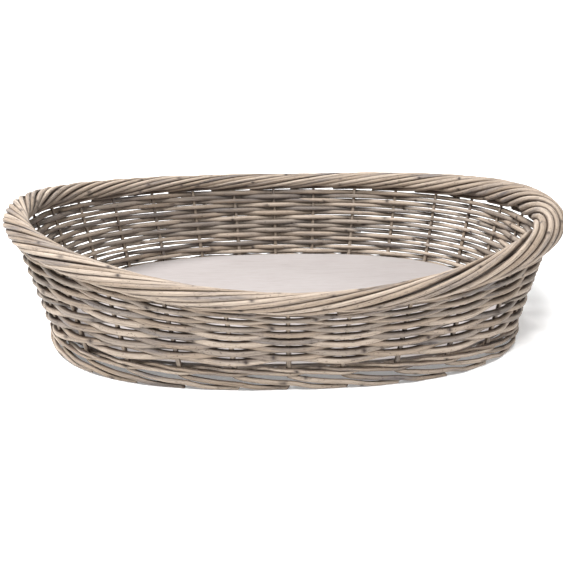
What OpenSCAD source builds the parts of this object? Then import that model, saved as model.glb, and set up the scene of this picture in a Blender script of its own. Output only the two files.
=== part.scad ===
// Wicker pet bed basket: a low oval dog or cat basket with a dipped front.
// A wale of three rods ties the upright stakes together and carries a plywood board.
// Below it the stakes turn into a foot border, above it weavers run in front of one stake
// and behind the next, and the stakes end in a thick border rolled round the rim.
// Millimetres, +X along the length, +Y to the back, +Z up, origin under the middle.

/* [Overall size] */
// Length over the rolled border
outer_length = 700; // [660:10:740]
// Width over the rolled border
outer_width = 500; // [480:10:520]
// Height of the border's middle line at the back
back_height = 138; // [134:1:144]
// Height of the border's middle line at the left end
left_height = 156; // [150:1:160]
// Height of the border's middle line at the right end
right_height = 152; // [148:1:158]
// Height of the border's middle line at the dipped front
front_height = 109; // [106:1:116]

/* [Base board] */
// Height of the board's upper face
board_top = 27.5; // [26.5:0.5:29]
// Thickness of the plywood
board_thickness = 3.6; // [3:0.2:5]
// Gap from the middle of the stakes to the board's edge
board_gap = 6; // [6:0.2:7]

/* [Stakes] */
// Length of the oval that the stakes stand on
stakes_length = 594; // [570:2:600]
// Width of the oval that the stakes stand on
stakes_width = 426; // [410:2:430]
// Number of upright stakes
stake_count = 30; // [28:2:32]
// Thickness of a stake
stake_d = 6; // [5:0.5:6.5]

/* [Weaving] */
// Rows that go right round the basket
row_count = 13; // [11:1:13]
// Thickness of a weaver as a share of the height of its row
weaver_share = 0.84; // [0.7:0.02:0.9]
// Thickness of the three rods of the wale, which runs round the stakes under the board
wale_d = 4.6; // [4:0.2:4.8]

/* [Rolled border] */
// Radius of the border along the front and the back
border_r = 12.2; // [12:0.2:13.4]
// Extra radius at the left end
left_swell = 3.2; // [1:0.2:4]
// Extra radius at the right end, where the rods are rolled more loosely
right_swell = 7; // [1:0.5:7]
// Rods that every stake adds to the border
rods_per_stake = 2; // [1:1:2]
// Thickness of a border rod
border_rod_d = 4.6; // [3.8:0.1:4.6]

/* [Foot] */
// Thickness of a foot rod
foot_rod_d = 5.6; // [5:0.2:5.6]

/* [Hidden] */
SIDES = ["right", "back", "left", "front"];
PACKING_AFTER = [6, 6];

spacing = 360 / stake_count;
first_stake = 0.45;
stake_r = stake_d / 2;
stake_foot = 1.4;
stake_gap = 0.3;
weave_clearance = 0.15;

// The two ovals that the stakes join: the one they lean from, just inside the thickness
// of the board, and the border's middle line
base_level = board_top - 2.5;
base_half = [stakes_length / 2, stakes_width / 2];
base_squareness = 2.5;
border_ends = [outer_length / 2 - border_r - right_swell,
               outer_length / 2 - border_r - left_swell];
border_half = [(border_ends[0] + border_ends[1]) / 2, outer_width / 2 - border_r];
border_shift = (border_ends[0] - border_ends[1]) / 2;
border_squareness = 2.25;
border_egg = 0.035;
evening = 2;
drift = 1.5;

// The weave runs between these two levels, and short packing rods fill the higher back
weave_bottom = board_top + 5.5;
weave_margin = 2.8;
packing_rows = len(PACKING_AFTER);
back_rows = row_count + packing_rows;
packing_reach = [132, 126];

// Course of a wale rod, in half spacings: how far outwards and how far up it lies. It
// passes two stakes outside, high and then low, and the third inside, under the board.
wale_rise = 2.7;
wale_course = [[1, 1], [1.1, 0], [1, -1], [0, -0.9], [-1, -0.5], [0, 0.9]];
board_rest = 0.1;
wale_level = board_top - board_thickness - board_rest - wale_d / 2 + wale_rise / 2;

// The border rods lie on the core and turn round it while they run on past the stakes
core_depth = border_rod_d + 0.6;
helix_start = 250;
helix_turn = 320;
helix_run = 5.2;
border_rod_steps = 10;

foot_r = foot_rod_d / 2;
foot_low = foot_r * cos(30);
// Course of a foot rod: stake spacings run, height of its middle line as a share of
// base_level, distance outwards. The last three points lie on the floor.
foot_course = [
    [0, 1, 0], [0, 0.7, 0], [0.05, 0.6, 0.4], [0.2, 0.52, 2], [0.7, 0.4, 3.6],
    [1.08, 0.34, 3.4], [1.4, 0.16, 1.6], [1.65, 0, 0.6], [1.82, 0, 0.4], [2, 0, 0.4]
];

rings_per_stake = 2;
rod_sides = 5;
core_sides = 8;
foot_sides = 6;
stake_fn = 32;
board_points = 120;

willow = [0.73, 0.66, 0.58];
grey_willow = [0.62, 0.58, 0.56];
pale_board = [0.87, 0.83, 0.81];

// ---------- lines of the basket ----------

function unit(v) = v / norm(v);
function mix(a, b, share) = a + (b - a) * share;
function smooth(x) = let(c = min(max(x, 0), 1)) c * c * (3 - 2 * c);

// A point of a squarish oval, counted anticlockwise from the right-hand end
function oval(half, squareness, angle) =
    let(k = pow(pow(abs(cos(angle)), squareness) + pow(abs(sin(angle)), squareness),
                -1 / squareness))
    [half[0] * k * cos(angle), half[1] * k * sin(angle)];

// Turns even steps round the basket into the angles of the stakes, which stand almost
// evenly, with the small drift of handwork
function even(turn) = turn + evening * sin(2 * turn) + drift * sin(turn + 45);

function border_height(angle) =
    let(ends = mix(left_height, right_height, (1 + cos(angle)) / 2))
    mix(ends, sin(angle) > 0 ? back_height : front_height,
        pow(abs(sin(angle)), sin(angle) > 0 ? 1.3 : 2.7));

function base_at(turn) =
    let(p = oval(base_half, base_squareness, even(turn))) [p[0], p[1], base_level];
function border_at(turn) =
    let(angle = even(turn), p = oval(border_half, border_squareness, angle))
    [p[0] + border_shift, p[1] * (1 + border_egg * cos(angle)), border_height(angle)];

// The wall's middle surface at a height
function wall_at(turn, z) =
    let(low = base_at(turn), high = border_at(turn))
    mix(low, high, (z - low[2]) / (high[2] - low[2]));

// Square to the wall and outwards
function along(turn) = unit(border_at(turn + 1) - border_at(turn - 1));
function up_stake(turn) = unit(border_at(turn) - base_at(turn));
function outwards(turn) = unit(cross(along(turn), up_stake(turn)));
function level_outwards(turn) = let(d = along(turn)) unit([d[1], -d[0], 0]);

function stake_turn(i) = (i + first_stake) * spacing;
function side_of(turn) = SIDES[floor(((even(turn) + 405) % 360) / 90)];
function border_radius(turn) =
    let(c = cos(even(turn))) border_r + (c > 0 ? right_swell : left_swell) * c * c;

// ---------- rods ----------

function tangent(path, i, closed) =
    let(n = len(path),
        before = closed ? path[(i + n - 1) % n] : path[max(i - 1, 0)],
        after = closed ? path[(i + 1) % n] : path[min(i + 1, n - 1)])
    unit(after - before);

function rod_ring(p, ahead, out, r, sides) =
    let(across = unit(out - (out * ahead) * ahead), over = cross(ahead, across))
    [for (j = [0:sides - 1]) let(a = 360 * j / sides)
        p + r * (cos(a) * across + sin(a) * over)];

// A rod swept along a path. outs points away from the wall and radii gives the
// thickness at each point of the path.
module rod(path, outs, radii, sides, closed = false) {
    n = len(path);
    points = [for (i = [0:n - 1])
        each rod_ring(path[i], tangent(path, i, closed), outs[i], radii[i], sides)];
    skin = [for (i = [0:n - (closed ? 1 : 2)], j = [0:sides - 1])
        let(i2 = (i + 1) % n, j2 = (j + 1) % sides)
        [i2 * sides + j, i2 * sides + j2, i * sides + j2, i * sides + j]];
    caps = closed ? [] : [
        [for (j = [0:sides - 1]) j],
        [for (j = [sides - 1:-1:0]) (n - 1) * sides + j]
    ];
    polyhedron(points, concat(skin, caps));
}

module straight_rod(from, to, r) {
    d = to - from;
    translate(from)
        rotate([0, acos(d[2] / norm(d)), atan2(d[1], d[0])])
            cylinder(h = norm(d), r = r, $fn = stake_fn);
}

// ---------- base ----------

module base_board() {
    color(pale_board)
        translate([0, 0, board_top - board_thickness])
            linear_extrude(board_thickness)
                polygon([for (i = [0:board_points - 1])
                    oval(base_half - [board_gap, board_gap], base_squareness,
                         360 * i / board_points)]);
}

// A stake leans outwards from the top of its foot rod and reaches the underside of the
// border's core
module stake(turn) {
    base = base_at(turn);
    lean = up_stake(turn);
    height = norm(border_at(turn) - base) - border_radius(turn) + core_depth - stake_gap;
    straight_rod(base + stake_foot * lean, base + height * lean, stake_r);
}

module stakes(side) {
    for (i = [0:stake_count - 1])
        if (side_of(stake_turn(i)) == side)
            color(grey_willow) stake(stake_turn(i));
}

// One foot rod: it goes down through the wale, leans along the foot and ends flat on the
// floor under the rods after it
module foot_rod(i) {
    turns = [for (c = foot_course) stake_turn(i) + c[0] * spacing];
    heights = [for (c = foot_course) max(c[1] * base_level, foot_low)];
    path = [for (k = [0:len(foot_course) - 1])
        let(p = base_at(turns[k]) + foot_course[k][2] * level_outwards(turns[k]))
        [p[0], p[1], heights[k]]];
    rod(path, [for (turn = turns) level_outwards(turn)],
        [for (turn = turns) foot_r], foot_sides);
}

module foot_rods(side) {
    for (i = [0:stake_count - 1])
        if (side_of(stake_turn(i)) == side)
            color(willow) foot_rod(i);
}

// ---------- weaving ----------

// The three rods of the wale follow one course, a stake apart
module wale_rod(number) {
    reach = stake_r + wale_d / 2 + weave_clearance;
    steps = stake_count * rings_per_stake;
    turns = [for (i = [0:steps - 1]) (first_stake + i / rings_per_stake) * spacing];
    path = [for (i = [0:steps - 1])
        let(c = wale_course[(i + number * rings_per_stake) % len(wale_course)])
        wall_at(turns[i], wale_level + wale_rise * c[1]) + reach * c[0] * outwards(turns[i])];
    color(willow)
        rod(path, [for (turn = turns) outwards(turn)],
            [for (turn = turns) wale_d / 2], rod_sides, closed = true);
}

// How far a place lies towards the back, where the packing rods give the wall its height
function back_share(turn) = smooth((sin(turn) + 0.9) / 0.7);

// The front rows are thick below and thin under the border
function front_place(x) = x * (1.24 - 0.24 * x);

// Height of a row, from its number among the front rows and among the back rows
function row_height(turn, front_row, back_row) =
    let(share = mix(front_place(front_row / row_count), back_row / back_rows,
                    back_share(turn)))
    mix(weave_bottom, border_at(turn)[2] - border_radius(turn) - weave_margin, share);

function back_number(k) = k + len([for (after = PACKING_AFTER) if (after < k) after]);

// Half the height that a row may fill, where front_rows is its share of a front row
function weaver_radius(turn, front_row, back_row, front_rows) =
    weaver_share / 2 * (row_height(turn, front_row + front_rows / 2, back_row + 0.5)
                        - row_height(turn, front_row - front_rows / 2, back_row - 0.5));

// A weaver from one step to another, with rings_per_stake steps to a stake spacing
module weaver(from_step, to_step, front_row, back_row, front_rows, phase, closed) {
    steps = [from_step:to_step];
    turns = [for (i = steps) (first_stake + i / rings_per_stake) * spacing];
    swings = [for (i = steps) cos(180 * (i / rings_per_stake + phase))];
    radii = [for (turn = turns) weaver_radius(turn, front_row, back_row, front_rows)];
    outs = [for (turn = turns) outwards(turn)];
    path = [for (i = [0:len(turns) - 1])
        wall_at(turns[i], row_height(turns[i], front_row, back_row))
        + (stake_r + radii[i] + weave_clearance) * swings[i] * outs[i]];
    rod(path, outs, radii, rod_sides, closed);
}

module weave_row(k) {
    color(willow)
        weaver(0, stake_count * rings_per_stake - 1, k - 0.5, back_number(k) - 0.5, 1,
               k % 2, true);
}

// Packing rods come in pairs, woven there and back over the higher part of the wall.
// Their thin ends run out between two rows near the front.
module packing_rod(number) {
    after = PACKING_AFTER[number - 1];
    place = number % 2 == 1 ? 1 : 2;
    reach = packing_reach[place - 1];
    step = spacing / rings_per_stake;
    color(grey_willow)
        weaver(round((90 - reach) / step), round((90 + reach) / step),
               after + (place - 1.5) / 3, back_number(after) + place - 0.5, 1 / 3,
               (after + place) % 2, false);
}

// ---------- rolled border ----------

function border_frame(turn) =
    let(ahead = along(turn), out = level_outwards(turn)) [out, unit(cross(ahead, -out))];

module border_core() {
    steps = stake_count * rings_per_stake;
    turns = [for (i = [0:steps - 1]) i / rings_per_stake * spacing];
    color(grey_willow)
        rod([for (turn = turns) border_at(turn)],
            [for (turn = turns) level_outwards(turn)],
            [for (turn = turns) border_radius(turn) - core_depth],
            core_sides, closed = true);
}

// One border rod: it rises inside the basket, rolls over the top and is tucked under
// the outside of the border
module border_rod(start) {
    steps = border_rod_steps;
    shares = [for (i = [0:steps]) i / steps];
    turns = [for (share = shares) start - share * helix_run * spacing];
    ways = [for (i = [0:steps])
        let(roll = helix_start - helix_turn * shares[i], frame = border_frame(turns[i]))
        cos(roll) * frame[0] + sin(roll) * frame[1]];
    path = [for (i = [0:steps])
        border_at(turns[i]) + (border_radius(turns[i]) - border_rod_d / 2) * ways[i]];
    rod(path, ways, [for (share = shares) border_rod_d / 2], rod_sides);
}

module border_rods(side) {
    for (i = [0:stake_count - 1])
        if (side_of(stake_turn(i)) == side)
            for (j = [0:rods_per_stake - 1])
                color(willow)
                    border_rod(stake_turn(i) - j / rods_per_stake * spacing);
}

base_board();
for (n = [1:3])
    wale_rod(n);
for (k = [1:row_count])
    weave_row(k);
for (k = [1:packing_rows])
    packing_rod(k);
for (side = SIDES) {
    stakes(side);
    foot_rods(side);
    border_rods(side);
}
border_core();
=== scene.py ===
import math
import random

import bpy
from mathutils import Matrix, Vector, noise


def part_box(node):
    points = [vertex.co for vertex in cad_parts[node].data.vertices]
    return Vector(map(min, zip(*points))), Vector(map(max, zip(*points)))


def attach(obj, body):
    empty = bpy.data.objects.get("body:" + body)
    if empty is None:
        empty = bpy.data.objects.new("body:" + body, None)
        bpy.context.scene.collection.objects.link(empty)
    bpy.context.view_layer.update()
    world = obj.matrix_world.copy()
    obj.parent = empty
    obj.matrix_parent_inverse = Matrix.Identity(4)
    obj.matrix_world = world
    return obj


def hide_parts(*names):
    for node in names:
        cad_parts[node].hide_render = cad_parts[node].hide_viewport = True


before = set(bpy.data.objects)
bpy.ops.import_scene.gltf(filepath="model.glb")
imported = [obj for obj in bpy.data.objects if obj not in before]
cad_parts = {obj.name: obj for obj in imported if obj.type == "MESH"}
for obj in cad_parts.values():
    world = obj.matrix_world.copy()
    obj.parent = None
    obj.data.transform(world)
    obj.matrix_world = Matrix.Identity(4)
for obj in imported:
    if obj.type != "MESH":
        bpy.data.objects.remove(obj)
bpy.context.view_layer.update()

SIDES = ("right", "back", "left", "front")

# ---------- sizes, in metres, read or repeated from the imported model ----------

BOARD_LOW, BOARD_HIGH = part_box("base_board")
BOARD_GAP = 0.006            # from the middle of the stakes to the board's edge
BASE = ((BOARD_HIGH.x - BOARD_LOW.x) / 2 + BOARD_GAP, BOARD_HIGH.y + BOARD_GAP)
BASE_SHIFT = (BOARD_HIGH.x + BOARD_LOW.x) / 2
BASE_SQUARENESS = 2.5
BASE_LEVEL = BOARD_HIGH.z - 0.0025    # where the stakes stand upright and start to lean

BORDER_R = 0.0122
LEFT_SWELL = 0.0032
RIGHT_SWELL = 0.007
CORE_DEPTH = 0.0052          # of the border's core under the border's outer surface
CORE_LOW, CORE_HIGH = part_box("border_core")
RIGHT_END = CORE_HIGH.x + CORE_DEPTH - BORDER_R - RIGHT_SWELL
LEFT_END = CORE_DEPTH - CORE_LOW.x - BORDER_R - LEFT_SWELL
BORDER = ((RIGHT_END + LEFT_END) / 2, CORE_HIGH.y + CORE_DEPTH - BORDER_R)
BORDER_SHIFT = (RIGHT_END - LEFT_END) / 2
BORDER_SQUARENESS = 2.25
BORDER_EGG = 0.035           # how much wider the border is to the right
LEFT_HEIGHT = 0.156
RIGHT_HEIGHT = 0.152
BACK_HEIGHT = 0.138
FRONT_HEIGHT = 0.109
BACK_CURVE = 1.3             # how quickly the rim comes down from the ends to the back
FRONT_CURVE = 2.7            # and to the front

STAKES = 30
STAKE_TURN = 360 / STAKES    # degrees from one stake to the next
FIRST_STAKE = 0.45
EVENING = 2                  # degrees that even out the stakes along the oval
DRIFT = 1.5                  # degrees that the maker's spacing drifts
STAKE_R = 0.0024             # a stake's radius where the weavers pass it
ROWS = 13
PACKING_AFTER = 6            # rows below the packing rods
PACKING_RODS = 2
BACK_ROWS = ROWS + PACKING_RODS
PACKING_REACH = (132 / STAKE_TURN, 126 / STAKE_TURN)
WEAVE_BOTTOM = BOARD_HIGH.z + 0.0055
WEAVE_DROP = 0.005           # how much lower the weaving starts at the back
WEAVE_MARGIN = 0.001         # between the last row and the border

WALE_R = 0.0024
WALE_RISE = 0.0027
WALE_LEVEL = BOARD_LOW.z - WALE_R + WALE_RISE / 2
FOOT_R = 0.003

# ---------- lines of the basket, as in the CAD model ----------


def mix(a, b, share):
    return a + (b - a) * share


def smooth(x):
    c = min(max(x, 0.0), 1.0)
    return c * c * (3 - 2 * c)


def oval(half, squareness, angle):
    c, s = math.cos(angle), math.sin(angle)
    k = (abs(c) ** squareness + abs(s) ** squareness) ** (-1 / squareness)
    return half[0] * k * c, half[1] * k * s


def turn_at(place):
    """A place round the basket, counted in stakes, as an even turn in radians."""
    return (place + FIRST_STAKE) * 2 * math.pi / STAKES


def angle_at(place):
    """The angle of a place on the ovals, with the maker's small drift."""
    turn = turn_at(place)
    drift = EVENING * math.sin(2 * turn) + DRIFT * math.sin(turn + math.pi / 4)
    return turn + math.radians(drift)


def border_height(angle):
    s = math.sin(angle)
    ends = mix(LEFT_HEIGHT, RIGHT_HEIGHT, (1 + math.cos(angle)) / 2)
    if s > 0:
        return mix(ends, BACK_HEIGHT, s ** BACK_CURVE)
    return mix(ends, FRONT_HEIGHT, (-s) ** FRONT_CURVE)


def base_at(place):
    x, y = oval(BASE, BASE_SQUARENESS, angle_at(place))
    return Vector((x + BASE_SHIFT, y, BASE_LEVEL))


def border_at(place):
    angle = angle_at(place)
    x, y = oval(BORDER, BORDER_SQUARENESS, angle)
    return Vector((x + BORDER_SHIFT, y * (1 + BORDER_EGG * math.cos(angle)),
                   border_height(angle)))


def border_radius(place):
    c = math.cos(angle_at(place))
    return BORDER_R + (RIGHT_SWELL if c > 0 else LEFT_SWELL) * c * c


def wall_at(place, height):
    low, high = base_at(place), border_at(place)
    return low.lerp(high, (height - low.z) / (high.z - low.z))


def along(place):
    near = 0.08
    return (border_at(place + near) - border_at(place - near)).normalized()


def outwards(place):
    lean = (border_at(place) - base_at(place)).normalized()
    return along(place).cross(lean).normalized()


def level_outwards(place):
    ahead = along(place)
    return Vector((ahead.y, -ahead.x, 0)).normalized()


def side_of(place):
    return SIDES[int((math.degrees(angle_at(place)) + 45) % 360 // 90)]


# ---------- willow rods ----------

ROD_SIDES = 12
RING_STEP = 0.004
KNOT_LENGTH = 0.0028
KNOT_SPACING = (0.03, 0.12)
KNOT_SWELL = (0.06, 0.22)    # as shares of the rod's radius
RIPPLE = 0.05
GRAIN_R = 0.0025             # radius that the grain is laid out at


def knots_along(rng, length):
    """A rod's knots: how far along they are, on which side, and how high they stand."""
    knots = []
    here = rng.uniform(0.01, 0.08)
    while here < length - 0.01:
        knots.append((here, rng.uniform(0, 2 * math.pi), rng.uniform(*KNOT_SWELL)))
        here += rng.uniform(*KNOT_SPACING)
    return knots


def knot_at(knots, here, a):
    """How dark the knots make a point of a rod's skin, and how much they swell it."""
    knot, swell = 0.0, 0.0
    for place, side, size in knots:
        close = math.exp(-((here - place) / KNOT_LENGTH) ** 2)
        facing = max(math.cos(a - side), 0)
        knot = max(knot, close * facing ** 4)
        swell += size * close * (0.35 + 0.65 * facing)
    return knot, swell


class Rods:
    """Willow rods gathered into one mesh, with what their material needs to know."""

    def __init__(self, name):
        self.name = name
        self.verts, self.faces, self.cut_faces = [], [], set()
        self.tone, self.knot, self.grain, self.painted_shade = [], [], [], []

    def add(self, path, outs, radii, seed, closed=False, slant=0.5):
        """One rod along a path, with its own tone, knots and ripples. slant is how
        steeply its ends are cut, and 0 is square."""
        rng = random.Random(seed)
        tone = rng.random()
        shift = rng.uniform(0, 40)
        count = len(path)
        run = [0.0]
        for a, b in zip(path, path[1:]):
            run.append(run[-1] + (b - a).length)
        knots = knots_along(rng, run[-1])
        oval_turn, oval_share = rng.uniform(0, math.pi), rng.uniform(0.0, 0.06)
        first = len(self.verts)
        for i, point in enumerate(path):
            before = path[i - 1] if i or closed else path[0]
            after = path[(i + 1) % count] if i < count - 1 or closed else path[-1]
            ahead = (after - before).normalized()
            across = (outs[i] - ahead * outs[i].dot(ahead)).normalized()
            over = ahead.cross(across)
            near = [k for k in knots if abs(k[0] - run[i]) < 4 * KNOT_LENGTH]
            ripple = 1 + RIPPLE * noise.noise(Vector((run[i] * 22, shift, 0.5)))
            for j in range(ROD_SIDES):
                a = 2 * math.pi * j / ROD_SIDES
                knot, swell = knot_at(near, run[i], a)
                r = radii[i] * (ripple + swell + oval_share * math.cos(2 * (a - oval_turn)))
                self.verts.append(point + r * (math.cos(a) * across + math.sin(a) * over))
                self.tone.append(tone)
                self.knot.append(knot)
                self.grain.append((math.cos(a) * GRAIN_R, math.sin(a) * GRAIN_R, run[i] + shift))
                # Painted shade: how far this point lies on the rod's side, towards the creases
                # between rods, which the material darkens
                self.painted_shade.append(abs(math.sin(a)))
        for i in range(count if closed else count - 1):
            a, b = first + i * ROD_SIDES, first + (i + 1) % count * ROD_SIDES
            for j in range(ROD_SIDES):
                k = (j + 1) % ROD_SIDES
                self.faces.append((a + j, a + k, b + k, b + j))
        if not closed:
            self.cut(first, path[0] - path[1], path[0], radii[0], slant, rng, True)
            last = first + (count - 1) * ROD_SIDES
            self.cut(last, path[-1] - path[-2], path[-1], radii[-1], slant, rng, False)

    def cut(self, ring, away, point, r, slant, rng, starts):
        """Cuts a rod's end off at a slant and closes it."""
        away = away.normalized()
        lean = self.verts[ring + rng.randrange(ROD_SIDES)] - point
        lean = lean - away * lean.dot(away)
        lean = lean.normalized() if lean.length > 1e-6 else lean
        for j in range(ROD_SIDES):
            v = ring + j
            self.verts[v] = self.verts[v] + away * (slant * (self.verts[v] - point).dot(lean))
        middle = len(self.verts)
        self.verts.append(point + away * 0.08 * r)
        self.tone.append(self.tone[ring])
        self.knot.append(0.0)
        self.grain.append((0.0, 0.0, self.grain[ring][2]))
        self.painted_shade.append(0.0)
        for j in range(ROD_SIDES):
            a, b = ring + j, ring + (j + 1) % ROD_SIDES
            self.cut_faces.add(len(self.faces))
            self.faces.append((b, a, middle) if starts else (a, b, middle))

    def piece(self, material, cut_material, slot, *nodes):
        """The rods as one Blender piece that stands for CAD nodes."""
        mesh = bpy.data.meshes.new(self.name)
        mesh.from_pydata(self.verts, [], self.faces)
        for name, kind, values in (("rod_tone", "FLOAT", self.tone),
                                   ("rod_knot", "FLOAT", self.knot),
                                   ("rod_painted_shade", "FLOAT", self.painted_shade),
                                   ("rod_grain", "FLOAT_VECTOR", self.grain)):
            store = mesh.attributes.new(name, kind, "POINT")
            if kind == "FLOAT":
                store.data.foreach_set("value", values)
            else:
                store.data.foreach_set("vector", [x for v in values for x in v])
        mesh.materials.append(material)
        mesh.materials.append(cut_material)
        for polygon in mesh.polygons:
            polygon.use_smooth = polygon.index not in self.cut_faces
            polygon.material_index = 1 if polygon.index in self.cut_faces else 0
        mesh.update()
        piece = bpy.data.objects.new(self.name, mesh)
        bpy.context.scene.collection.objects.link(piece)
        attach(piece, "root")
        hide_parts(*nodes)
        return piece


def curve_through(points, outs, radii, step=RING_STEP):
    """A smooth path through a rod's points, with its directions and thicknesses."""
    path, ways, sizes = [], [], []
    last = len(points) - 1
    for i in range(last):
        p0, p1 = points[max(i - 1, 0)], points[i]
        p2, p3 = points[i + 1], points[min(i + 2, last)]
        steps = max(2, round((p2 - p1).length / step))
        for k in range(steps):
            t = k / steps
            path.append(0.5 * (2 * p1 + (p2 - p0) * t
                               + (2 * p0 - 5 * p1 + 4 * p2 - p3) * t * t
                               + (3 * p1 - p0 - 3 * p2 + p3) * t ** 3))
            ways.append(outs[i].lerp(outs[i + 1], t))
            sizes.append(mix(radii[i], radii[i + 1], t))
    return path + [points[-1]], ways + [outs[-1]], sizes + [radii[-1]]


# ---------- materials ----------


def new_material(name, roughness, specular=0.35):
    material = bpy.data.materials.new(name)
    material.use_nodes = True
    tree = material.node_tree
    shader = tree.nodes["Principled BSDF"]
    shader.inputs["Roughness"].default_value = roughness
    shader.inputs["Specular IOR Level"].default_value = specular
    return material, tree, shader


def attribute_node(tree, name):
    node = tree.nodes.new("ShaderNodeAttribute")
    node.attribute_name = name
    return node


def scaled(tree, vector, scale):
    node = tree.nodes.new("ShaderNodeMapping")
    node.inputs["Scale"].default_value = scale
    tree.links.new(vector, node.inputs["Vector"])
    return node.outputs["Vector"]


def noise_node(tree, vector, scale, detail=3.0, roughness=0.55):
    node = tree.nodes.new("ShaderNodeTexNoise")
    node.inputs["Scale"].default_value = scale
    node.inputs["Detail"].default_value = detail
    node.inputs["Roughness"].default_value = roughness
    tree.links.new(vector, node.inputs["Vector"])
    return node.outputs["Fac"]


def ramp(tree, value, *stops):
    node = tree.nodes.new("ShaderNodeValToRGB")
    ends = node.color_ramp.elements
    for k, (place, colour) in enumerate(stops):
        stop = ends[k] if k < 2 else ends.new(place)
        stop.position = place
        stop.color = (*colour, 1)
    tree.links.new(value, node.inputs["Fac"])
    return node.outputs["Color"]


def blend_colour(tree, share, a, b, kind="MIX"):
    node = tree.nodes.new("ShaderNodeMix")
    node.data_type = "RGBA"
    node.blend_type = kind
    for value, socket in ((share, node.inputs[0]), (a, node.inputs[6]), (b, node.inputs[7])):
        if isinstance(value, (int, float)):
            socket.default_value = value
        elif isinstance(value, tuple):
            socket.default_value = (*value, 1)
        else:
            tree.links.new(value, socket)
    return node.outputs[2]


def math_node(tree, kind, a, b, clamp=False):
    node = tree.nodes.new("ShaderNodeMath")
    node.operation = kind
    node.use_clamp = clamp
    for value, socket in ((a, node.inputs[0]), (b, node.inputs[1])):
        if isinstance(value, (int, float)):
            socket.default_value = value
        else:
            tree.links.new(value, socket)
    return node.outputs[0]


def bump(tree, shader, height, strength, distance):
    node = tree.nodes.new("ShaderNodeBump")
    node.inputs["Strength"].default_value = strength
    node.inputs["Distance"].default_value = distance
    tree.links.new(height, node.inputs["Height"])
    tree.links.new(node.outputs["Normal"], shader.inputs["Normal"])


BLACK = (0.0, 0.0, 0.0)
WHITE = (1.0, 1.0, 1.0)


def willow_material(name, pale, warm, grey, weathered):
    """Grey-washed willow: long streaks, grey weathered stretches, fine fibres, specks,
    painted shade along each rod's sides where it lies in the creases between rods, and
    knots. weathered is how much of the rod the grey takes."""
    material, tree, shader = new_material(name, 0.62)
    grain = attribute_node(tree, "rod_grain").outputs["Vector"]
    tone = attribute_node(tree, "rod_tone").outputs["Fac"]
    knot = attribute_node(tree, "rod_knot").outputs["Fac"]
    streak = noise_node(tree, scaled(tree, grain, (900, 900, 26)), 1.0, 4.0, 0.62)
    fibre = noise_node(tree, scaled(tree, grain, (2600, 2600, 90)), 1.0, 2.0)
    patch = noise_node(tree, scaled(tree, grain, (160, 160, 13)), 1.0, 3.0, 0.6)
    base = blend_colour(tree, ramp(tree, tone, (0.15, BLACK), (0.85, WHITE)), warm, pale)
    wear = ramp(tree, math_node(tree, "ADD", patch, math_node(tree, "MULTIPLY", tone, -0.12)),
                (0.5 - weathered, BLACK), (0.72 - weathered, WHITE))
    base = blend_colour(tree, wear, base, grey)
    base = blend_colour(tree, 0.8, base, ramp(tree, streak, (0.32, (0.42, 0.38, 0.36)),
                                              (0.47, (0.9, 0.88, 0.86)), (0.7, (1.12, 1.1, 1.08))),
                        "MULTIPLY")
    base = blend_colour(tree, 0.5, base, ramp(tree, fibre, (0.35, (0.6, 0.57, 0.54)),
                                              (0.6, WHITE)), "MULTIPLY")
    speck = noise_node(tree, scaled(tree, grain, (700, 700, 260)), 1.0, 2.0, 0.7)
    base = blend_colour(tree, 0.7, base, ramp(tree, speck, (0.3, (0.2, 0.16, 0.14)),
                                              (0.4, WHITE)), "MULTIPLY")
    # Painted shade: each rod is darkened along its sides, where it lies in the creases between
    # rods
    painted_shade = attribute_node(tree, "rod_painted_shade").outputs["Fac"]
    base = blend_colour(tree, 1.0, base, ramp(tree, painted_shade, (0.72, WHITE),
                                              (0.97, (0.3, 0.26, 0.24))), "MULTIPLY")
    base = blend_colour(tree, math_node(tree, "MULTIPLY", knot, 1.3, True), base,
                        (0.035, 0.024, 0.02))
    tree.links.new(base, shader.inputs["Base Color"])
    rough = ramp(tree, streak, (0.3, (0.8, 0.8, 0.8)), (0.65, (0.55, 0.55, 0.55)))
    tree.links.new(rough, shader.inputs["Roughness"])
    height = math_node(tree, "ADD", streak, math_node(tree, "MULTIPLY", fibre, 0.5))
    bump(tree, shader, height, 0.5, 0.0005)
    return material


def cut_end_material():
    """The weathered cut ends, mottled and darker than the rods."""
    material, tree, shader = new_material("willow_cut_end", 0.8, 0.2)
    grain = attribute_node(tree, "rod_grain").outputs["Vector"]
    speck = noise_node(tree, scaled(tree, grain, (1500, 1500, 300)), 1.0, 3.0)
    tree.links.new(ramp(tree, speck, (0.3, (0.05, 0.035, 0.03)), (0.7, (0.24, 0.19, 0.15))),
                   shader.inputs["Base Color"])
    bump(tree, shader, speck, 0.4, 0.0004)
    return material


def board_material():
    """Pale limewashed plywood, with grain along its length and a mottled wash."""
    material, tree, shader = new_material("limewashed_plywood", 0.7)
    where = tree.nodes.new("ShaderNodeTexCoord").outputs["Object"]
    grain = noise_node(tree, scaled(tree, where, (5, 110, 110)), 1.0, 5.0, 0.6)
    pores = noise_node(tree, scaled(tree, where, (40, 900, 900)), 1.0, 2.0)
    wash = noise_node(tree, scaled(tree, where, (9, 14, 9)), 1.0, 3.0)
    base = ramp(tree, grain, (0.3, (0.281, 0.254, 0.246)), (0.55, (0.304, 0.278, 0.27)),
                (0.75, (0.316, 0.292, 0.286)))
    base = blend_colour(tree, ramp(tree, wash, (0.35, BLACK), (0.65, WHITE)), base,
                        (0.314, 0.288, 0.281))
    base = blend_colour(tree, 0.25, base, ramp(tree, pores, (0.35, (0.6, 0.55, 0.52)),
                                               (0.5, WHITE)), "MULTIPLY")
    tree.links.new(base, shader.inputs["Base Color"])
    bump(tree, shader, grain, 0.2, 0.0004)
    return material


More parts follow.
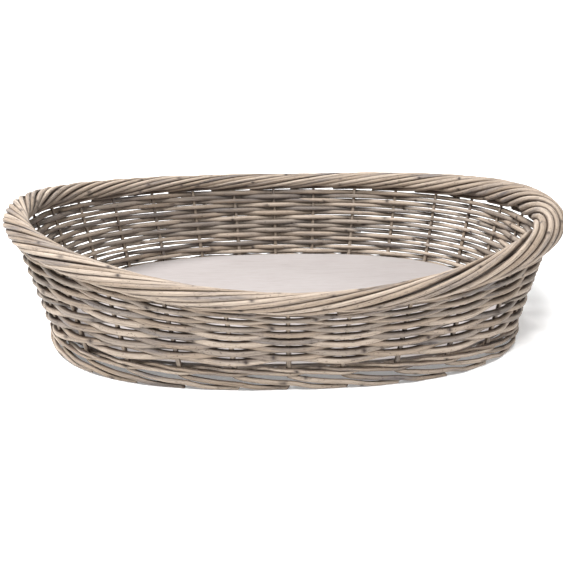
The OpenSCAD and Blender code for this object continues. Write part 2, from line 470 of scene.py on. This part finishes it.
# Pale, warm and weathered linear colours of each willow, and how weathered it is
WILLOW = willow_material("washed_willow", (0.4, 0.335, 0.275), (0.28, 0.222, 0.17),
                         (0.165, 0.146, 0.14), 0.05)
GREY_WILLOW = willow_material("weathered_willow", (0.29, 0.246, 0.206), (0.2, 0.165, 0.137),
                              (0.15, 0.136, 0.132), 0.1)
CUT_END = cut_end_material()
BOARD = board_material()

# ---------- base ----------

STAKE_RADII = (0.0031, 0.003, 0.0021)    # under the board, over it and at the border
STAKE_BEND = 0.0008
STAKE_FOOT = 0.006


def make_board():
    """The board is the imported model's own, with plywood's looks."""
    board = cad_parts["base_board"]
    board.data.materials.clear()
    board.data.materials.append(BOARD)


def make_stakes():
    """A stake is thicker at its foot and bends a little on its way up."""
    for side in SIDES:
        rods = Rods(f"upright_stakes_{side}")
        for i in range(STAKES):
            if side_of(i) != side:
                continue
            rng = random.Random(5000 + i)
            base, top = base_at(i), border_at(i)
            lean = (top - base).normalized()
            reach = (top - base).length - 0.5 * (border_radius(i) - CORE_DEPTH)
            bend = rng.uniform(-STAKE_BEND, STAKE_BEND)
            shares = [k / 6 for k in range(7)]
            points = [base + lean * reach * s + along(i) * bend * math.sin(math.pi * s)
                      for s in shares]
            points.insert(0, base - Vector((0, 0, STAKE_FOOT)))
            outs = [outwards(i)] * len(points)
            under, low, high = STAKE_RADII
            radii = [under] + [mix(low, high, s) for s in shares]
            rods.add(*curve_through(points, outs, radii), 5100 + i)
        rods.piece(WILLOW, CUT_END, "grey_willow", f"stakes_{side}")


# Course of a foot rod: stakes run, height of its middle line, distance outwards
FOOT_COURSE = (
    (0, 0.019, 0), (0, 0.0165, 0), (0.08, 0.0148, 0.0008), (0.25, 0.013, 0.0022),
    (0.7, 0.0102, 0.0044), (1.08, 0.0085, 0.0046), (1.4, 0.0042, 0.0032),
    (1.65, FOOT_R, 0.0022), (1.82, FOOT_R, 0.002), (2.05, FOOT_R, 0.0018),
)


def make_foot():
    """The rods of the foot lean along one another and lie on the floor with their tips."""
    for side in SIDES:
        rods = Rods(f"foot_border_{side}")
        for i in range(STAKES):
            if side_of(i) != side:
                continue
            rng = random.Random(6000 + i)
            size = rng.uniform(0.95, 1.1)
            stretch = rng.uniform(0.95, 1.08)
            points, outs, radii = [], [], []
            for k, (run, height, out) in enumerate(FOOT_COURSE):
                place = i + run * stretch
                p = base_at(place) + (out + rng.uniform(-0.0004, 0.0004)) * level_outwards(place)
                r = FOOT_R * mix(size, 0.88, k / (len(FOOT_COURSE) - 1))
                points.append(Vector((p.x, p.y, max(height, 1.05 * r))))
                outs.append(level_outwards(place))
                radii.append(r)
            rods.add(*curve_through(points, outs, radii), 6100 + i, slant=0.7)
        for vert in rods.verts:
            vert.z = max(vert.z, 0.0)
        rods.piece(WILLOW, CUT_END, "willow", f"foot_rods_{side}")


# ---------- weaving ----------

STEPS_PER_STAKE = 14
PRESS = 0.6                  # how far weavers swing, as they press into the stakes
MAX_WEAVER_R = 0.004
END_LENGTH = 0.8             # stakes over which a weaver thins out towards its ends
TAPER = (1.08, 0.88)         # thickness of a weaver's butt and tip
OVERLAP = (0.25, 0.3)        # stakes that a weaver's two ends run past the joins
ROW_LIFT = (-0.15, 0.2)      # rows that its ends lie off the line, beside the next rod's
FRONT_SHRINK = 0.24          # how much more height the lowest rows take in front
FRONT_FULLNESS = 1.34
BACK_FULLNESS = 1.25
OPENNESS = 0.38              # how much less the weavers fill at the ends of the back


def back_share(place):
    """0 along the dipped front and 1 along the higher back and the ends."""
    return smooth((math.sin(turn_at(place)) + 0.9) / 0.7)


def row_height(place, front_row, back_row):
    front = front_row / ROWS
    front *= 1 + FRONT_SHRINK * (1 - front)
    share = mix(front, back_row / BACK_ROWS, back_share(place))
    bottom = WEAVE_BOTTOM - WEAVE_DROP * back_share(place)
    top = border_at(place).z - border_radius(place) - WEAVE_MARGIN
    return mix(bottom, top, share)


def row_room(place, front_row, back_row, front_rows=1.0):
    """The height that a row has to itself."""
    return (row_height(place, front_row + front_rows / 2, back_row + 0.5)
            - row_height(place, front_row - front_rows / 2, back_row - 0.5))


def fullness(place):
    """How much of its row's height a weaver fills: tight in front, open at the ends of
    the back."""
    turn = turn_at(place)
    open_share = smooth((math.sin(turn) + 0.05) / 0.6)
    return mix(FRONT_FULLNESS, BACK_FULLNESS - OPENNESS * abs(math.cos(turn)), open_share)


def weaver(rods, start, end, front_row, back_row, phase, seed, front_rows=1.0,
           lift=(0.0, 0.0)):
    """One willow rod woven from start to end, with small bends and slow waves. lift
    moves its two ends off the line of the row."""
    rng = random.Random(seed)
    size = rng.uniform(0.9, 1.1)
    butt_first = rng.random() < 0.5
    steps = round((end - start) * STEPS_PER_STAKE)
    path, outs, radii = [], [], []
    for k in range(steps + 1):
        share = k / steps
        place = mix(start, end, share)
        room = row_room(place, front_row, back_row, front_rows)
        taper = mix(*TAPER, share if butt_first else 1 - share)
        r = min(0.5 * room * fullness(place) * size * taper, MAX_WEAVER_R)
        sway = 0.0006 * noise.noise(Vector((place * 0.9, back_row * 3.7, 1.5)))
        sway += 0.0009 * noise.noise(Vector((place * 0.23, back_row * 0.5, 8.5)))
        near_start = max(0.0, 1 - (place - start) / END_LENGTH)
        near_end = max(0.0, 1 - (end - place) / END_LENGTH)
        sway += room * (lift[0] * near_start + lift[1] * near_end)
        r *= 1 - 0.4 * max(near_start, near_end)
        swing = PRESS * (STAKE_R + r) * math.cos(math.pi * (place + phase))
        height = row_height(place, front_row, back_row) + sway
        path.append(wall_at(place, height) + swing * outwards(place))
        outs.append(outwards(place))
        radii.append(r)
    rods.add(path, outs, radii, seed + 1)


def make_rows():
    """Every row is two rods laid end to end."""
    for k in range(1, ROWS + 1):
        rng = random.Random(700 + k)
        rods = Rods(f"weavers_of_row_{k}")
        back_row = k - 0.5 + (PACKING_RODS if k > PACKING_AFTER else 0)
        first = rng.randrange(STAKES // 2) * 2 + (1 + k) % 2
        second = first + 14 + 2 * rng.randrange(-1, 3)
        joins = (first, second, first + STAKES)
        for n in (0, 1):
            weaver(rods, joins[n] - OVERLAP[0], joins[n + 1] + OVERLAP[1], k - 0.5,
                   back_row, k % 2, 7000 + 10 * k + 2 * n, lift=ROW_LIFT)
        rods.piece(WILLOW if k % 3 else GREY_WILLOW, CUT_END, "willow", f"weave_row_{k}")


def make_packing():
    """Short rows over the back and the ends only, thin where they run out."""
    for n in range(PACKING_RODS):
        rods = Rods(f"packing_weaver_{n + 1}")
        middle = STAKES / 4 - FIRST_STAKE
        reach = PACKING_REACH[n]
        weaver(rods, middle - reach, middle + reach, PACKING_AFTER + (n - 0.5) / 3,
               PACKING_AFTER + n + 0.5, (PACKING_AFTER + n + 1) % 2, 7800 + n,
               front_rows=1 / 3)
        rods.piece(GREY_WILLOW, CUT_END, "grey_willow", f"packing_rod_{n + 1}")


# Course of a wale rod, from stake to stake: how far outwards and how far up it lies. It
# passes two stakes outside, high and then low, and the third inside, under the board.
WALE_COURSE = ((1, 1), (1.12, 0), (1, -1), (0, -0.9), (-1, -0.5), (0, 0.9))


def wale_course(place):
    """The course of a wale rod, smoothed, with a turn every three stakes."""
    k = place * 2 % len(WALE_COURSE)
    share = smooth(k % 1)
    a, b = WALE_COURSE[int(k)], WALE_COURSE[(int(k) + 1) % len(WALE_COURSE)]
    return mix(a[0], b[0], share), mix(a[1], b[1], share)


def make_wale():
    """Three rods follow one course a stake apart."""
    for n in (1, 2, 3):
        rods = Rods(f"wale_{n}")
        path, outs, radii = [], [], []
        for k in range(STAKES * STEPS_PER_STAKE):
            place = k / STEPS_PER_STAKE
            r = WALE_R * (1 + 0.12 * noise.noise(Vector((place * 0.4, 9.3 * n, 0))))
            out, up = wale_course(place + n)
            level = WALE_LEVEL + WALE_RISE * up
            level += 0.0006 * noise.noise(Vector((place * 0.5, 4.1 * n, 2.2)))
            path.append(wall_at(place, level) + (STAKE_R + r) * out * outwards(place))
            outs.append(outwards(place))
            radii.append(r)
        rods.add(path, outs, radii, 7900 + n, closed=True)
        rods.piece(WILLOW, CUT_END, "willow", f"wale_rod_{n}")


# ---------- rolled border ----------

RODS_PER_STAKE = 2
ROLL_RATE = 63               # degrees to a stake, on average
ROLL_EXTRA = 9               # more at the ends, and less along the front and the back
ROLL_START = 226
ROLL_END = -72
LOOSE_TIPS = 0.3             # share of the first rods whose tips stand out
LOOSE_ROLL = 20              # degrees that these roll further
ROOTS = (0.1, 0.55)          # stakes past its own stake at which each rod comes out
ROOT_TUCK = (2, -0.4)
TIP_TUCK = (1, -1.2)         # of a tucked and of a loose tip
TUCK_DEPTH = 0.0022
CONTROL_STEP = 0.25
CORE_STRANDS = 6
CORE_TWISTS = 3
CORE_SPREAD = 0.6            # of the strands, and their thickness, as shares of its radius
CORE_STRAND_R = 0.38
CORE_STEPS_PER_STAKE = 8


def rolled(place):
    """How far the border has rolled at a place, in degrees: fastest at the ends."""
    return (ROLL_RATE * place
            + ROLL_EXTRA * math.sin(2 * turn_at(place)) / 2 / (2 * math.pi / STAKES))


def border_way(place, roll):
    """The direction out of the border's middle line at a roll, 0 outwards and 90 up."""
    out, ahead = level_outwards(place), along(place)
    roll = math.radians(roll)
    return math.cos(roll) * out + math.sin(roll) * out.cross(ahead)


def border_rod(rods, i, j):
    """Rod j of stake i, which comes out below the border and rolls back over it."""
    rng = random.Random(8000 + 10 * i + j)
    r0 = rng.uniform(0.0027, 0.0031)
    r1 = r0 * rng.uniform(0.84, 0.95)
    roll0 = ROLL_START + j * ROLL_RATE / RODS_PER_STAKE + rng.uniform(-4, 4)
    depth = rng.uniform(-0.0004, 0.0005)
    loose_tip = j == 0 and rng.random() < LOOSE_TIPS
    end = i - 3
    while roll0 - rolled(i) + rolled(end) > ROLL_END - LOOSE_ROLL * loose_tip:
        end -= 0.05
    start = i + ROOTS[j]
    run = start - end
    count = round(run / CONTROL_STEP)
    points, outs, radii = [], [], []
    for k in range(count + 1):
        share = k / count
        place = start - share * run
        roll = roll0 - rolled(i) + rolled(min(place, i + ROOTS[0]))
        tuck = ROOT_TUCK[j] * smooth(1 - share * 8)
        tuck += TIP_TUCK[loose_tip] * smooth((share - 0.92) * 12)
        r = mix(r0, r1, share) * (border_radius(place) / BORDER_R) ** 0.85
        reach = border_radius(place) - r + depth - TUCK_DEPTH * tuck
        way = border_way(place, roll)
        points.append(border_at(place) + reach * way)
        outs.append(way)
        radii.append(r)
    rods.add(*curve_through(points, outs, radii), 8500 + 10 * i + j, slant=0.8)


def make_border():
    for side in SIDES:
        rods = Rods(f"rolled_border_{side}")
        for i in range(STAKES):
            if side_of(i) == side:
                for j in range(RODS_PER_STAKE):
                    border_rod(rods, i, j)
        rods.piece(WILLOW, CUT_END, "willow", f"border_rods_{side}")


def make_border_core():
    """The tails of the border's rods, as twisted strands inside the roll."""
    core = Rods("border_tails")
    steps = STAKES * CORE_STEPS_PER_STAKE
    for n in range(CORE_STRANDS):
        path, outs, radii = [], [], []
        for k in range(steps):
            place = k / CORE_STEPS_PER_STAKE
            way = border_way(place, 360 * (n / CORE_STRANDS + CORE_TWISTS * k / steps))
            room = border_radius(place) - CORE_DEPTH
            path.append(border_at(place) + CORE_SPREAD * room * way)
            outs.append(way)
            radii.append(CORE_STRAND_R * room)
        core.add(path, outs, radii, 8990 + n, closed=True)
    core.piece(GREY_WILLOW, CUT_END, "grey_willow", "border_core")


# ---------- floor, light and camera ----------


def make_floor():
    """A pale floor that sweeps up behind the basket, and glows a little like a light table."""
    reach, depth, radius, top, steps = 6.0, 3.0, 1.5, 5.0, 16
    line = [(-reach, 0.0)]
    for k in range(steps + 1):
        a = math.pi / 2 * k / steps
        line.append((depth + radius * math.sin(a), radius * (1 - math.cos(a))))
    line.append((depth + radius, top))
    verts = [(x, y, z) for y, z in line for x in (-reach, reach)]
    faces = [(2 * k, 2 * k + 1, 2 * k + 3, 2 * k + 2) for k in range(len(line) - 1)]
    mesh = bpy.data.meshes.new("floor")
    mesh.from_pydata(verts, [], faces)
    for polygon in mesh.polygons:
        polygon.use_smooth = True
    floor = bpy.data.objects.new("floor", mesh)
    bpy.context.scene.collection.objects.link(floor)
    material, _, shader = new_material("pale_floor", 0.9, 0.1)
    shader.inputs["Base Color"].default_value = (0.92, 0.92, 0.92, 1)
    shader.inputs["Emission Color"].default_value = (1, 1, 1, 1)
    shader.inputs["Emission Strength"].default_value = 0.22
    mesh.materials.append(material)


def area_light(name, place, target, size, power):
    data = bpy.data.lights.new(name, "AREA")
    data.size = size
    data.energy = power
    light = bpy.data.objects.new(name, data)
    light.location = place
    light.rotation_mode = "QUATERNION"
    light.rotation_quaternion = (Vector(target) - Vector(place)).to_track_quat("-Z", "Y")
    bpy.context.scene.collection.objects.link(light)


def make_light():
    world = bpy.data.worlds.new("studio")
    world.use_nodes = True
    world.node_tree.nodes["Background"].inputs["Color"].default_value = (1, 1, 1, 1)
    world.node_tree.nodes["Background"].inputs["Strength"].default_value = 0.27
    bpy.context.scene.world = world
    area_light("key", (-0.4, -1.7, 2.6), (0, 0, 0.05), 0.8, 94)
    area_light("left", (-1.2, 0.1, 2.2), (-0.3, 0, 0.12), 0.9, 98)
    area_light("right", (2.2, -1.6, 1.2), (0.1, 0, 0.05), 1.4, 17)
    area_light("backdrop", (0, 1.3, 2.0), (0, 4.2, 1.3), 2.5, 190)
    bpy.context.scene.view_settings.view_transform = "Standard"


LENS = 52.069                # millimetres, on a sensor 36 mm wide
SHIFT = (-0.0063, 0.0034)    # as shares of the picture's width
DISTANCE = 1.0867            # from the camera to the middle of the basket
TILT = 0.332                 # radians below the horizon
TURN = -0.059                # radians round the basket, to its left
AIM_HEIGHT = 0.0497


def make_camera():
    camera = bpy.data.cameras.new("camera")
    camera.sensor_width = 36
    camera.lens = LENS
    camera.shift_x, camera.shift_y = SHIFT
    eye = bpy.data.objects.new("camera", camera)
    back = Vector((math.sin(TURN) * math.cos(TILT), -math.cos(TURN) * math.cos(TILT),
                   math.sin(TILT)))
    eye.location = Vector((0, 0, AIM_HEIGHT)) + DISTANCE * back
    eye.rotation_mode = "QUATERNION"
    eye.rotation_quaternion = (-back).to_track_quat("-Z", "Y")
    bpy.context.scene.collection.objects.link(eye)
    bpy.context.scene.camera = eye


make_camera()
make_board()
make_stakes()
make_foot()
make_wale()
make_rows()
make_packing()
make_border()
make_border_core()
make_floor()
make_light()
